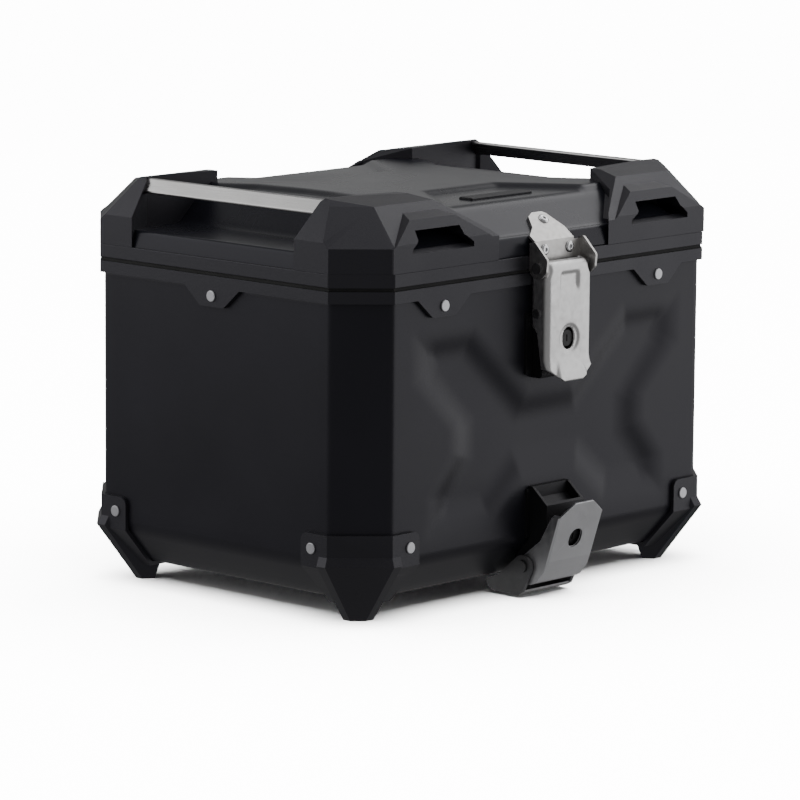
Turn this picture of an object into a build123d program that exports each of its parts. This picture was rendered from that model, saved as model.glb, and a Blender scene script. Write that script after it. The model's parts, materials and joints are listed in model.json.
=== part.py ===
from build123d import *
import os

os.makedirs("parts", exist_ok=True)

# ---------------------------------------------------------------- driving dimensions, mm
WIDTH = 410.0  # over the lid band, left to right
DEPTH = 300.4  # over the lid band, front to back
CORNER = 33.5  # leg of the band's 45 degree corners
MID_Y = 11.15  # the case's middle plane behind the origin
SHEET = 1.5  # aluminium sheet

FLOOR_Z = 15.0  # underside of the case
CREASE_Z = 44.0  # where the wall turns in to the bevel
BEVEL_IN = 27.0  # how far the bevel runs in at the bottom
COLLAR_LOW = 234.6
COLLAR_TOP = 243.4
RIM_Z = 241.5  # top edge of the case wall, inside the collar
BAND_LOW = 246.0
BAND_TOP = 256.0
SHELF_Z = 268.5  # shelf round the lid's raised middle
TROUGH_Z = 292.5  # lower level of the raised middle
PLATFORM_Z = 296.0  # its X shaped upper level
RIDGE_Z = 306.6  # top of the corner caps

WALL_IN = 3.4  # case wall behind the band's outline
LID_IN = 2.0  # lid skirt behind the band's outline
BAND_X = WIDTH / 2
BAND_Y = DEPTH / 2
WALL_X = BAND_X - WALL_IN
WALL_Y = BAND_Y - WALL_IN

RIVET_R = 2.0
SCREW_R = 2.0
BOLT_R = 3.0
RUN = 0.05  # radial clearance of a pin in what turns on it


# ---------------------------------------------------------------- planes and outlines
def level(z):
    """Horizontal plane at height z, its middle on the case's middle."""
    return Plane(origin=(0, MID_Y, z))


def side_plane(x):
    """Upright section plane at x: local x runs back from the case's middle, local y up."""
    return Plane(origin=(x, MID_Y, 0), x_dir=(0, 1, 0), z_dir=(1, 0, 0))


def front_plane(y):
    """Upright plane facing forward, y behind the case's middle: local x right, local y up."""
    return Plane(origin=(0, MID_Y + y, 0), x_dir=(1, 0, 0), z_dir=(0, -1, 0))


def outline(points, mode=Mode.ADD):
    Polygon(*points, align=None, mode=mode)


def plan_points(inset):
    """The eight corners of the case's plan, moved in from the band's outline by inset."""
    x = BAND_X - inset
    y = BAND_Y - inset
    leg = CORNER - inset * (2 - 2**0.5)
    back = [(x, y - leg), (x - leg, y), (leg - x, y), (-x, y - leg)]
    return back + [(u, -v) for u, v in reversed(back)]


def signed(points, sx, sy):
    return [(sx * x, sy * y) for x, y in points]


def mirrored(points):
    """A half outline with x >= 0, closed by its mirror image."""
    return points + [(-x, y) for x, y in reversed(points) if x > 0]


def four_ways(quarter):
    """A full outline from the points of its +x, +y quarter."""
    right = [(x, -y) for x, y in reversed(quarter)] + quarter
    return right + [(-x, y) for x, y in reversed(quarter)] + [(-x, -y) for x, y in quarter]


def prism(plane, points, amount, mode=Mode.ADD, both=False):
    """Points extruded from a plane along its normal."""
    with BuildSketch(plane) as face:
        outline(points)
    extrude(face.sketch, amount=amount, both=both, mode=mode)


def ring(low_z, high_z, outer_in, inner_in, mode=Mode.ADD):
    """An upright band that follows the case's plan between two insets."""
    with BuildSketch(level(low_z)) as face:
        outline(plan_points(outer_in))
        outline(plan_points(inner_in), Mode.SUBTRACT)
    extrude(face.sketch, amount=high_z - low_z, mode=mode)


def bridge(plane_a, points_a, plane_b, points_b, mode=Mode.ADD):
    """A solid with straight sides between two outlines of as many points."""
    with BuildSketch(plane_a) as face_a:
        outline(points_a)
    with BuildSketch(plane_b) as face_b:
        outline(points_b)
    loft([face_a.sketch.face(), face_b.sketch.face()], ruled=True, mode=mode)


def section(x, points, length, mode=Mode.ADD):
    """A bar whose side section is points, from x towards +X."""
    prism(side_plane(x), points, length, mode)


def rods(x, spots, radius, length, mode=Mode.ADD):
    """Rods along +X from x, at (y, z) spots; y is measured from the case's middle."""
    with BuildSketch(side_plane(x)) as face:
        with Locations(*spots):
            Circle(radius)
    extrude(face.sketch, amount=length, mode=mode)


def front_rods(y, spots, radius, length, mode=Mode.ADD):
    """Rods from y towards the front, at (x, z) spots; a negative length runs back."""
    with BuildSketch(front_plane(y)) as face:
        with Locations(*spots):
            Circle(radius)
    extrude(face.sketch, amount=length, mode=mode)


def upright_rods(z, spots, radius, length, mode=Mode.ADD):
    with BuildSketch(level(z)) as face:
        with Locations(*spots):
            Circle(radius)
    extrude(face.sketch, amount=length, mode=mode)


# ---------------------------------------------------------------- where the fixings are
TAB_Z = 228.5
TAB_X = 119.0
FOOT_RIVET_Z = 56.5
FRONT_TABS = [(-TAB_X, TAB_Z), (TAB_X, TAB_Z)]
SIDE_TABS = [(0, TAB_Z)]
FRONT_FEET = [(-153.0, FOOT_RIVET_Z), (153.0, FOOT_RIVET_Z)]
SIDE_FEET = [(-101.0, FOOT_RIVET_Z), (101.0, FOOT_RIVET_Z)]
BASE_SCREWS = [(x, z) for x in (-14, 14) for z in (172, 206)]
HOUSING_SCREWS = [(x, z) for x in (-14, 14) for z in (54, 66)]
BRACKET_RIVETS = [(-13.5, 259.4), (14.0, 259.4)]
HINGE_X = 40.0
HINGE_XS = [s * HINGE_X + d for s in (-1, 1) for d in (-10, 10)]
HINGE_LOW_Z = 212.0
CAP_SCREWS = [(sx * x, sy * y) for sx in (-1, 1) for sy in (-1, 1) for x, y in ((160, 112), (188, 98))]
HOOK_X = 70.0
HOOK_Y = 95.0
HOOK_SPREAD = 14.0
HOOK_SPOTS = [(s * HOOK_X + d, HOOK_Y) for s in (-1, 1) for d in (-HOOK_SPREAD, HOOK_SPREAD)]


def wall_holes(front_spots, side_spots):
    """Rivet holes through the front and back walls and through both side walls."""
    front_rods(BAND_Y + 20, front_spots, RIVET_R, DEPTH + 40, Mode.SUBTRACT)
    rods(-BAND_X - 20, side_spots, RIVET_R, WIDTH + 40, Mode.SUBTRACT)


# ---------------------------------------------------------------- case shell
RECESS_DEPTH = 4.0
RECESS_OUTER = [
    (30.5, 93),
    (64, 65),
    (127, 65),
    (127, 89),
    (103, 118),
    (103, 137.5),
    (143, 175.5),
    (143, 206),
    (85, 206),
    (25, 153.5),
]
RECESS_INNER = [
    (36, 110),
    (70, 81),
    (107, 81),
    (107, 86),
    (84, 112),
    (84, 140),
    (122, 178),
    (122, 190),
    (90, 190),
    (32, 137),
]


def x_recess(face_y, mode):
    """The shallow X pressed into the front wall, opening forward at face_y."""
    bottom = front_plane(face_y + RECESS_DEPTH)
    bridge(bottom, mirrored(RECESS_INNER), front_plane(face_y), mirrored(RECESS_OUTER), mode)


def tub(inset, floor_z, crease_z, bevel_in, top_z):
    """An eight-sided block with a bevel round its bottom edge."""
    rim = plan_points(inset)
    prism(level(crease_z), rim, top_z - crease_z)
    bridge(level(floor_z), plan_points(inset + bevel_in), level(crease_z), rim)


with BuildPart() as cavity:
    tub(WALL_IN + SHEET, FLOOR_Z + SHEET, CREASE_Z + 0.6, BEVEL_IN - 0.8, BAND_LOW)
    x_recess(-WALL_Y + SHEET, Mode.SUBTRACT)

with BuildPart() as case_shell:
    tub(WALL_IN, FLOOR_Z, CREASE_Z, BEVEL_IN, RIM_Z)
    x_recess(-WALL_Y, Mode.SUBTRACT)
    add(cavity.part, mode=Mode.SUBTRACT)
    wall_holes(FRONT_TABS + FRONT_FEET, SIDE_TABS + SIDE_FEET)
    front_rods(0, BASE_SCREWS + HOUSING_SCREWS, SCREW_R, BAND_Y, Mode.SUBTRACT)
    front_rods(0, [(x, HINGE_LOW_Z) for x in HINGE_XS], RIVET_R, -BAND_Y, Mode.SUBTRACT)
    upright_rods(0, HOOK_SPOTS, BOLT_R, 40, Mode.SUBTRACT)
case_shell.part.label = "case_shell"
export_step(case_shell.part, "parts/case_shell.step")

# ---------------------------------------------------------------- collar round the rim
TAB_OUTLINE = [(-28, 0), (-12, -14), (12, -14), (28, 0)]
COLLAR_LEG = 1.6


def tab(plane, x, amount):
    """A tapered tab below the collar, its low corners rounded."""
    with BuildSketch(plane) as face:
        outline([(x + u, COLLAR_LOW + v) for u, v in TAB_OUTLINE])
        fillet(face.vertices().group_by(Axis.Y)[0], 3)
    extrude(face.sketch, amount=amount)


with BuildPart() as case_collar:
    ring(COLLAR_LOW, COLLAR_TOP, 0, WALL_IN + SHEET + COLLAR_LEG)
    ring(COLLAR_LOW, RIM_Z, WALL_IN, WALL_IN + SHEET, Mode.SUBTRACT)
    for tab_x in (-TAB_X, TAB_X):
        tab(front_plane(-WALL_Y), tab_x, WALL_IN)
        tab(front_plane(WALL_Y), tab_x, -WALL_IN)
    tab(side_plane(WALL_X), 0, WALL_IN)
    tab(side_plane(-WALL_X), 0, -WALL_IN)
    wall_holes(FRONT_TABS, SIDE_TABS)
case_collar.part.label = "case_collar"
export_step(case_collar.part, "parts/case_collar.step")

# ---------------------------------------------------------------- rivets
RIVET_HEAD_R = 4.2
RIVET_HEAD_H = 1.2
RIVET_TAIL_R = 3.2
RIVET_TAIL_H = 1.5


def rivet(outer, inner):
    """A rivet along +Z from the origin's plane: head beyond outer, set end inside inner."""
    with BuildPart() as body:
        Cylinder(RIVET_R, outer - inner, align=(Align.CENTER, Align.CENTER, Align.MIN))
        with Locations((0, 0, outer - inner)):
            Cylinder(RIVET_HEAD_R, RIVET_HEAD_H, align=(Align.CENTER, Align.CENTER, Align.MIN))
        fillet(body.edges().group_by(Axis.Z)[-1], 0.6)
        Cylinder(RIVET_TAIL_R, RIVET_TAIL_H, align=(Align.CENTER, Align.CENTER, Align.MAX))
    return Pos(0, 0, inner) * body.part


def rivets_round(front_spots, side_spots, proud):
    """Rivets through all four walls, heads on faces that stand proud of the walls."""
    front = rivet(WALL_Y + proud, WALL_Y - SHEET)
    side = rivet(WALL_X + proud, WALL_X - SHEET)
    seats = []
    for s in (-1, 1):
        seats += [(Plane(origin=(x, MID_Y, z), z_dir=(0, s, 0)), front) for x, z in front_spots]
        seats += [(Plane(origin=(0, MID_Y + y, z), z_dir=(s, 0, 0)), side) for y, z in side_spots]
    return [seat.location * body for seat, body in seats]


with BuildPart() as collar_rivets:
    add(rivets_round(FRONT_TABS, SIDE_TABS, WALL_IN))
collar_rivets.part.label = "collar_rivets"
export_step(collar_rivets.part, "parts/collar_rivets.step")

# ---------------------------------------------------------------- corner feet
FOOT_SKIN = 3.0
FOOT_TOP = 67.5
FOOT_ROUND = 6.0
FRONT_WING = [(143, FOOT_TOP), (260, FOOT_TOP), (260, 0), (143, 0)]
SIDE_WING = [(90.5, FOOT_TOP), (200, FOOT_TOP), (200, 0), (94, 0), (90.5, 45.4)]
BROW = [(163, 149.8), (171.5, 149.8), (204.6, 116.7), (204.6, 108.5), (168, 82), (134, 112)]
RIDGE = [(164.5, 153), (173, 153), (208, 118), (208, 109.5), (165, 80), (130, 110)]
HEEL = [(158, 119), (166, 119), (174, 111), (174, 104), (166, 99), (153, 111)]
BROW_Z = 51.5
RIDGE_LINE_Z = 45.0

with BuildPart() as case_block:
    tub(WALL_IN, FLOOR_Z, CREASE_Z, BEVEL_IN, RIM_Z)

with BuildPart() as feet_skin:
    tub(WALL_IN - FOOT_SKIN, FLOOR_Z - FOOT_SKIN, CREASE_Z - 1.2, BEVEL_IN + 1.6, FOOT_TOP)


def wing(plane, points, s, amount):
    """A block behind a wing's outline, its free upper corner rounded."""
    with BuildSketch(plane) as face:
        outline([(s * u, z) for u, z in points])
        top = face.vertices().group_by(Axis.Y)[-1]
        fillet(top.sort_by(lambda v: abs(v.X))[0], FOOT_ROUND)
    extrude(face.sketch, amount=amount)


def corner_foot(sx, sy):
    """A moulded foot that wraps one lower corner and stands on a small heel."""
    with BuildPart() as foot:
        wing(front_plane(sy * (BAND_Y + 10)), FRONT_WING, sx, sy * 60)
        wing(side_plane(sx * (BAND_X + 10)), SIDE_WING, sy, -sx * 60)
        add(feet_skin.part, mode=Mode.INTERSECT)
        brow, ridge, heel = (signed(points, sx, sy) for points in (BROW, RIDGE, HEEL))
        bridge(level(RIDGE_LINE_Z), ridge, level(BROW_Z), brow)
        bridge(level(0), heel, level(RIDGE_LINE_Z), ridge)
        add(case_block.part, mode=Mode.SUBTRACT)
        wall_holes(FRONT_FEET, SIDE_FEET)
    return foot.part


CORNERS = {
    "front_left": (-1, -1),
    "front_right": (1, -1),
    "rear_left": (-1, 1),
    "rear_right": (1, 1),
}
for corner, signs in CORNERS.items():
    foot = corner_foot(*signs)
    foot.label = "foot_" + corner
    export_step(foot, "parts/foot_" + corner + ".step")

with BuildPart() as foot_rivets:
    add(rivets_round(FRONT_FEET, SIDE_FEET, FOOT_SKIN))
foot_rivets.part.label = "foot_rivets"
export_step(foot_rivets.part, "parts/foot_rivets.step")

# ---------------------------------------------------------------- floor plate and carrier hooks
PLATE_T = 2.0
HOOK_T = 3.0
HOOK_WIDE = 44.0
HOOK_LOW = FLOOR_Z - 11.0
HOOK_HEEL = HOOK_Y + 12.0
HOOK_TIP = HOOK_Y + 26.0
BOLT_HEAD_R = 5.5
BOLT_HEAD_H = 3.0
NUT_H = 4.0

with BuildPart() as floor_plate:
    with BuildSketch(level(FLOOR_Z + SHEET)):
        RectangleRounded(190, 230, 10)
    extrude(amount=PLATE_T)
    upright_rods(0, HOOK_SPOTS, BOLT_R, 40, Mode.SUBTRACT)
floor_plate.part.label = "floor_plate"
export_step(floor_plate.part, "parts/floor_plate.step")

HOOK_PROFILE = [
    (HOOK_Y - 12, FLOOR_Z),
    (HOOK_HEEL, FLOOR_Z),
    (HOOK_HEEL, HOOK_LOW + HOOK_T),
    (HOOK_TIP, HOOK_LOW + HOOK_T),
    (HOOK_TIP, HOOK_LOW),
    (HOOK_HEEL - HOOK_T, HOOK_LOW),
    (HOOK_HEEL - HOOK_T, FLOOR_Z - HOOK_T),
    (HOOK_Y - 12, FLOOR_Z - HOOK_T),
]
for side, s in (("left", -1), ("right", 1)):
    with BuildPart() as carrier_hook:
        section(s * HOOK_X - HOOK_WIDE / 2, HOOK_PROFILE, HOOK_WIDE)
        upright_rods(0, HOOK_SPOTS, BOLT_R, 40, Mode.SUBTRACT)
    carrier_hook.part.label = "carrier_hook_" + side
    export_step(carrier_hook.part, "parts/carrier_hook_" + side + ".step")

with BuildPart() as hook_bolts:
    upright_rods(FLOOR_Z - HOOK_T - BOLT_HEAD_H, HOOK_SPOTS, BOLT_HEAD_R, BOLT_HEAD_H)
    upright_rods(FLOOR_Z - HOOK_T, HOOK_SPOTS, BOLT_R, HOOK_T + SHEET + PLATE_T + NUT_H + 1)
hook_bolts.part.label = "hook_bolts"
export_step(hook_bolts.part, "parts/hook_bolts.step")

with BuildPart() as hook_nuts:
    with BuildSketch(level(FLOOR_Z + SHEET + PLATE_T)):
        with Locations(*HOOK_SPOTS):
            RegularPolygon(5.8, 6)
            Circle(BOLT_R, mode=Mode.SUBTRACT)
    extrude(amount=NUT_H)
hook_nuts.part.label = "hook_nuts"
export_step(hook_nuts.part, "parts/hook_nuts.step")

# ---------------------------------------------------------------- lid band and seal
BAND_LEG = 7.5
BAND_LIP = 3.0  # the band's floor, under the edge of the lid sheet
SKIRT_LOW = BAND_LOW + BAND_LIP
SEAL_GAP = 0.1

with BuildPart() as lid_frame:
    ring(BAND_LOW, BAND_TOP, 0, BAND_LEG)
    ring(SKIRT_LOW, BAND_TOP, LID_IN, LID_IN + SHEET, Mode.SUBTRACT)
lid_frame.part.label = "lid_frame"
export_step(lid_frame.part, "parts/lid_frame.step")

with BuildPart() as lid_seal:
    ring(COLLAR_TOP + SEAL_GAP, BAND_LOW, 1.4, 6.0)
lid_seal.part.label = "lid_seal"
export_step(lid_seal.part, "parts/lid_seal.step")

# ---------------------------------------------------------------- lid shell
BLOCK_LOW = (148.0, 146.0)  # half sizes of the raised middle at shelf height
BLOCK_TOP = (122.0, 114.0)  # and at the trough's height
SKIRT_LEAN = 2.0
PLATFORM_LOW = [(98, 12), (104, 55), (120, 80), (121.5, 113.5), (75, 113.5), (37, 61)]
PLATFORM_TOP = [(91, 14), (97, 58), (114, 84), (117, 109), (79, 109), (40, 54)]


def lid_form(t, mode=Mode.ADD):
    """The lid's pressed shape, moved in and down by t."""
    prism(level(SKIRT_LOW), plan_points(LID_IN + t), BAND_TOP - SKIRT_LOW, mode)
    shelf = plan_points(LID_IN + SKIRT_LEAN + t)
    bridge(level(BAND_TOP), plan_points(LID_IN + t), level(SHELF_Z - t), shelf, mode)
    levels = [
        (SHELF_Z, [BLOCK_LOW], TROUGH_Z, [BLOCK_TOP]),
        (TROUGH_Z, PLATFORM_LOW, PLATFORM_Z, PLATFORM_TOP),
    ]
    for low_z, low, high_z, high in levels:
        low_t = four_ways([(x - t / 2, y - t / 2) for x, y in low])
        high_t = four_ways([(x - t / 2, y - t / 2) for x, y in high])
        bridge(level(low_z - t), low_t, level(high_z - t), high_t, mode)


with BuildPart() as lid_block:
    lid_form(0)

SLOPE_RUN = BLOCK_LOW[1] - BLOCK_TOP[1]
SLOPE_RISE = TROUGH_Z - SHELF_Z
SLOPE_PLANE = Plane(
    origin=(0, MID_Y - BLOCK_LOW[1], SHELF_Z),
    x_dir=(1, 0, 0),
    z_dir=(0, -SLOPE_RISE, SLOPE_RUN),
)


def skirt_y(z):
    """How far the lid's leaning skirt stands from the middle, at height z."""
    return BAND_Y - LID_IN - SKIRT_LEAN * (z - BAND_TOP) / (SHELF_Z - BAND_TOP)


TONGUE_SCREW = (4.0, 14.5)  # on the front slope, from the middle of its lower edge
SKIRT_PLANE = Plane(
    origin=(0, MID_Y + BAND_Y - LID_IN - SKIRT_LEAN / 2, (BAND_TOP + SHELF_Z) / 2),
    x_dir=(-1, 0, 0),
    z_dir=(0, SHELF_Z - BAND_TOP, SKIRT_LEAN),
)  # on the lid's leaning back skirt
SKIRT_RIVET = 1.0

with BuildPart() as lid_shell:
    lid_form(0)
    lid_form(SHEET, Mode.SUBTRACT)
    front_rods(0, BRACKET_RIVETS, RIVET_R, BAND_Y, Mode.SUBTRACT)
    upright_rods(SHELF_Z - 10, CAP_SCREWS, SCREW_R, 20, Mode.SUBTRACT)
    with BuildSketch(SLOPE_PLANE):
        with Locations(TONGUE_SCREW):
            Circle(RIVET_R)
    extrude(amount=8, both=True, mode=Mode.SUBTRACT)
    with BuildSketch(SKIRT_PLANE):
        with Locations(*[(x, SKIRT_RIVET) for x in HINGE_XS]):
            Circle(RIVET_R)
    extrude(amount=8, both=True, mode=Mode.SUBTRACT)
lid_shell.part.label = "lid_shell"
export_step(lid_shell.part, "parts/lid_shell.step")

with BuildPart() as badge_plate:
    with BuildSketch(level(TROUGH_Z)):
        with Locations((0, -92)):
            RectangleRounded(68, 13, 1.5)
    extrude(amount=1.6)
    chamfer(badge_plate.edges().group_by(Axis.Z)[-1], 0.6)
badge_plate.part.label = "badge_plate"
export_step(badge_plate.part, "parts/badge_plate.step")

# ---------------------------------------------------------------- side rails
RAIL_HALF = 93.0
RAIL_SECTION = [(182, 294), (188.6, 294), (180, 304.6), (175.5, 304.6)]
for side, s in (("left", -1), ("right", 1)):
    with BuildPart() as rail:
        with BuildSketch(front_plane(0)) as rail_face:
            outline([(s * x, z) for x, z in RAIL_SECTION])
            fillet(rail_face.vertices(), 1.5)
        extrude(amount=RAIL_HALF, both=True)
    rail.part.label = "rail_" + side
    export_step(rail.part, "parts/rail_" + side + ".step")

# ---------------------------------------------------------------- corner caps
CAP_SKIN = 3.0
CAP_SCREW_TOP = 284.0
KNEE_Z = 274.0  # top of the caps' upright faces
CAP_PLAN = [
    (61, BAND_Y),
    (BAND_X - CORNER, BAND_Y),
    (BAND_X, BAND_Y - CORNER),
    (BAND_X, 83),
    (184, 88.5),
    (182, 91.5),
    (107.5, 91.5),
    (89, 127),
    (68, 144),
]
CAP_PLAN_INNER = [
    (66, BAND_Y - 3),
    (BAND_X - CORNER - 1, BAND_Y - 3),
    (BAND_X - 3, BAND_Y - CORNER - 1),
    (BAND_X - 3, 87),
    (184, 94.5),
    (111, 94.5),
    (93, 127),
    (72, 145),
]
CAP_SLANT = BAND_X + BAND_Y - CORNER  # x + y along the chamfer
EYE_BAR = [(112, 250), (BAND_Y, 250), (BAND_Y, 276), (140, 291.5), (120, 297.6), (112, 297.6)]
EYE_FACE = [(68, 250), (68, 274), (104.5, 295.5), (139.5, 295.5), (173, 274), (173, 250)]
SLOT = [
    (126, 271),
    (145, 271),
    (BAND_Y, 268.5),
    (BAND_Y + 5, 268.5),
    (BAND_Y + 5, 284.5),
    (143, 284.5),
    (139, 288.5),
    (126, 288.5),
]
SLOT_FACE = [
    (88, 260),
    (88, 272),
    (97, 278),
    (98, 284.5),
    (98, 300),
    (145, 300),
    (145, 284.5),
    (146, 278),
    (153, 272),
    (153, 260),
]
SLOT_WALL = [(123, 250), (BAND_Y, 250), (BAND_Y, 300), (123, 300)]
WALL_FACE = [(85, 250), (85, 300), (156, 300), (156, 250)]


def cap_form(sx, sy, points, skin):
    """The outer shape of a corner cap, drawn in by skin, over the whole height of the lid."""
    low = 230
    front = [
        (60, low),
        (BAND_Y - skin, low),
        (BAND_Y - skin, KNEE_Z - skin / 2),
        (122, 301 - skin),
        (93, RIDGE_Z - 0.6 - skin),
        (60, RIDGE_Z - skin),
    ]
    side = [
        (40, low),
        (BAND_X - skin, low),
        (BAND_X - skin, KNEE_Z + 4 - skin / 2),
        (181.5, RIDGE_Z - skin),
        (107, RIDGE_Z - 2.2 - skin),
        (40, 262 - skin),
    ]
    slant = [
        (60, low),
        (CAP_SLANT / 2**0.5 - skin, low),
        (CAP_SLANT / 2**0.5 - skin, KNEE_Z - skin / 2),
        ((CAP_SLANT - 36) / 2**0.5 - skin / 2, 301),
        ((CAP_SLANT - 60) / 2**0.5, 316),
        (60, 316),
    ]
    prism(level(BAND_TOP), signed(points, sx, sy), 60)
    prism(side_plane(0), [(sy * v, z) for v, z in front], BAND_X + 5, Mode.INTERSECT, both=True)
    prism(front_plane(0), [(sx * u, z) for u, z in side], BAND_X + 5, Mode.INTERSECT, both=True)
    across = Plane(origin=(0, MID_Y, 0), x_dir=(sx, sy, 0), z_dir=(sy, -sx, 0))
    rising = across.y_dir.Z
    turned = [(d, rising * z) for d, z in slant]
    prism(across, turned, BAND_X + 5, Mode.INTERSECT, both=True)


def cap_bar(sx, sy, face, points):
    """A bar along a cap's long side, with its outlines from the front and from its end."""
    with BuildPart() as bar:
        section(-BAND_X, [(sy * v, z) for v, z in points], 2 * BAND_X)
        prism(front_plane(0), [(sx * x, z) for x, z in face], BAND_Y + 20, Mode.INTERSECT, True)
    return bar.part


def corner_cap(sx, sy):
    """A hollow moulded cap over one lid corner, with a lashing eye in its long side."""
    with BuildPart() as hollow:
        cap_form(sx, sy, CAP_PLAN_INNER, CAP_SKIN)
        add(cap_bar(sx, sy, WALL_FACE, SLOT_WALL), mode=Mode.SUBTRACT)
    with BuildPart() as bosses:
        cap_form(sx, sy, CAP_PLAN, 0)
        upright_rods(BAND_TOP, CAP_SCREWS, 5, 60, Mode.INTERSECT)
    with BuildPart() as cap:
        cap_form(sx, sy, CAP_PLAN, 0)
        add(cap_bar(sx, sy, EYE_FACE, EYE_BAR))
        add(hollow.part, mode=Mode.SUBTRACT)
        add(bosses.part)
        upright_rods(BAND_TOP, CAP_SCREWS, SCREW_R, CAP_SCREW_TOP - BAND_TOP, Mode.SUBTRACT)
        add(cap_bar(sx, sy, SLOT_FACE, SLOT), mode=Mode.SUBTRACT)
        prism(front_plane(0), [(sx * x, z) for x, z in RAIL_SECTION], RAIL_HALF, Mode.SUBTRACT, True)
        add(lid_block.part, mode=Mode.SUBTRACT)
        prism(level(BAND_TOP - 40), plan_points(-5), 40, Mode.SUBTRACT)
    return cap.part


for corner, signs in CORNERS.items():
    cap = corner_cap(*signs)
    cap.label = "cap_" + corner
    export_step(cap, "parts/cap_" + corner + ".step")

with BuildPart() as cap_screws:
    upright_rods(SHELF_Z - SHEET - 2.2, CAP_SCREWS, 3.8, 2.2)
    upright_rods(SHELF_Z - SHEET, CAP_SCREWS, SCREW_R, CAP_SCREW_TOP - SHELF_Z + SHEET)
cap_screws.part.label = "cap_screws"
export_step(cap_screws.part, "parts/cap_screws.step")

# ---------------------------------------------------------------- latch bracket on the lid
PIN1 = (-158.4, 247.3)  # the lever's pin, in the bracket's ears
PIN1_R = 2.5
BRACKET_BACK = -150.5
BRACKET_T = 2.0
EAR_X = (26.0, 28.0)
BRACKET_FRONT = BRACKET_BACK - BRACKET_T
BEND_RISE = (BLOCK_LOW[1] + BRACKET_BACK) * SLOPE_RISE / SLOPE_RUN
BRACKET_BEND = [
    (BRACKET_BACK, 249.5),
    (BRACKET_BACK, SHELF_Z + BEND_RISE),
    (-BLOCK_LOW[1], SHELF_Z),
    (-BLOCK_LOW[1] - 1.2, SHELF_Z + 1.6),
    (BRACKET_FRONT, SHELF_Z + BEND_RISE + 1.0),
    (BRACKET_FRONT, 249.5),
]
EAR = [(-150.5, 249.5), (-150.5, 265), (-155, 267.2), (-168, 254), (-167, 244), (-160, 240), (-153.5, 242)]
TONGUE = [(-24, -3), (-24, 0), (-14, 8), (-8.5, 19), (-2, 22.5), (9, 22.5), (12, 20), (19, 5), (19, -3)]

with BuildPart() as latch_bracket:
    section(-24, BRACKET_BEND, 43)
    prism(front_plane(BRACKET_BACK), [(-28, 249.5), (28, 249.5), (28, 264.5), (-28, 264.5)], BRACKET_T)
    with BuildSketch(SLOPE_PLANE) as tongue_face:
        outline(TONGUE)
        fillet(tongue_face.vertices().group_by(Axis.Y)[-1], 2)
        with Locations(TONGUE_SCREW):
            Circle(RIVET_R, mode=Mode.SUBTRACT)
    extrude(tongue_face.sketch, amount=BRACKET_T)
    for ear_x in (-EAR_X[1], EAR_X[0]):
        with BuildSketch(side_plane(ear_x)) as ear_face:
            outline(EAR)
            fillet(ear_face.vertices().sort_by(Axis.X)[:4], 3.5)
        extrude(ear_face.sketch, amount=EAR_X[1] - EAR_X[0])
        rods(ear_x, [PIN1], 8, EAR_X[1] - EAR_X[0])
    prism(front_plane(BRACKET_BACK), [(-19, BAND_TOP), (19, BAND_TOP), (19, 263), (-19, 263)], -8)
    add(lid_block.part, mode=Mode.SUBTRACT)
    rods(-EAR_X[1], [PIN1], PIN1_R, 2 * EAR_X[1], Mode.SUBTRACT)
    front_rods(0, BRACKET_RIVETS, RIVET_R, 200, Mode.SUBTRACT)
latch_bracket.part.label = "latch_bracket"
export_step(latch_bracket.part, "parts/latch_bracket.step")

bracket_rivet = rivet(-BRACKET_FRONT, skirt_y(262.6) - SHEET - 0.2)
tongue_rivet = rivet(BRACKET_T, -SHEET - 0.3)
bracket_seats = [Plane(origin=(x, MID_Y, z), z_dir=(0, -1, 0)) for x, z in BRACKET_RIVETS]
with BuildPart() as bracket_rivets:
    add([seat.location * bracket_rivet for seat in bracket_seats])
    add(SLOPE_PLANE.location * Pos(*TONGUE_SCREW, 0) * tongue_rivet)
bracket_rivets.part.label = "bracket_rivets"
export_step(bracket_rivets.part, "parts/bracket_rivets.step")


def headed_pin(spot, radius, reach, head_r, head_t):
    """A pin across the case at (y, z), with a flat head beyond each end of its reach."""
    with BuildPart() as pin:
        rods(-reach, [spot], radius, 2 * reach)
        rods(-reach - head_t, [spot], head_r, head_t)
        rods(reach, [spot], head_r, head_t)
    return pin.part


lever_pin = headed_pin(PIN1, PIN1_R, EAR_X[1], 4.2, 1.4)
lever_pin.label = "lever_pin"
export_step(lever_pin, "parts/lever_pin.step")

# ---------------------------------------------------------------- latch lever
PIN2 = (-155.2, 213.5)  # the draw hook's pin, in the lever's sides
PIN2_R = 2.0
LEVER_HALF = 24.5
LEVER_T = 2.0
LEVER_FRONT = -166.0
LOCK_Z = 194.0
LEVER_SIDE = [
    (LEVER_FRONT, 172.4),
    (LEVER_FRONT, 252),
    (-156, 252),
    (-152.9, 249),
    (-152.9, 246),
    (-150.9, 243),
    (-150.9, 204),
    (-155.4, 199),
    (-160, 172.4),
]
LEVER_FLARE = [
    (LEVER_FRONT, 183),
    (LEVER_FRONT - 1.2, 176),
    (-170.4, 164),
    (-168.4, 163.5),
    (LEVER_FRONT + LEVER_T - 1.0, 176),
    (LEVER_FRONT + LEVER_T, 183),
]
LEVER_TIP = [(-24.5, 260), (-24.5, 172.4), (-20.5, 172.4), (-10.4, 163), (10.4, 163)]
LEVER_TIP += [(20.5, 172.4), (24.5, 172.4), (24.5, 260)]


def lever_lock_hole(plane, width, height):
    """A rounded hole with a countersunk rim, through a lever's face."""
    with BuildSketch(plane) as mouth:
        RectangleRounded(width, height, width / 2 - 0.4)
    extrude(mouth.sketch, amount=5, both=True, mode=Mode.SUBTRACT)
    with BuildSketch(plane) as rim:
        Circle(11.3)
    with BuildSketch(plane.offset(-1.2)) as seat:
        Circle(9.4)
    loft([seat.sketch.face(), rim.sketch.face()], ruled=True, mode=Mode.SUBTRACT)


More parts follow.
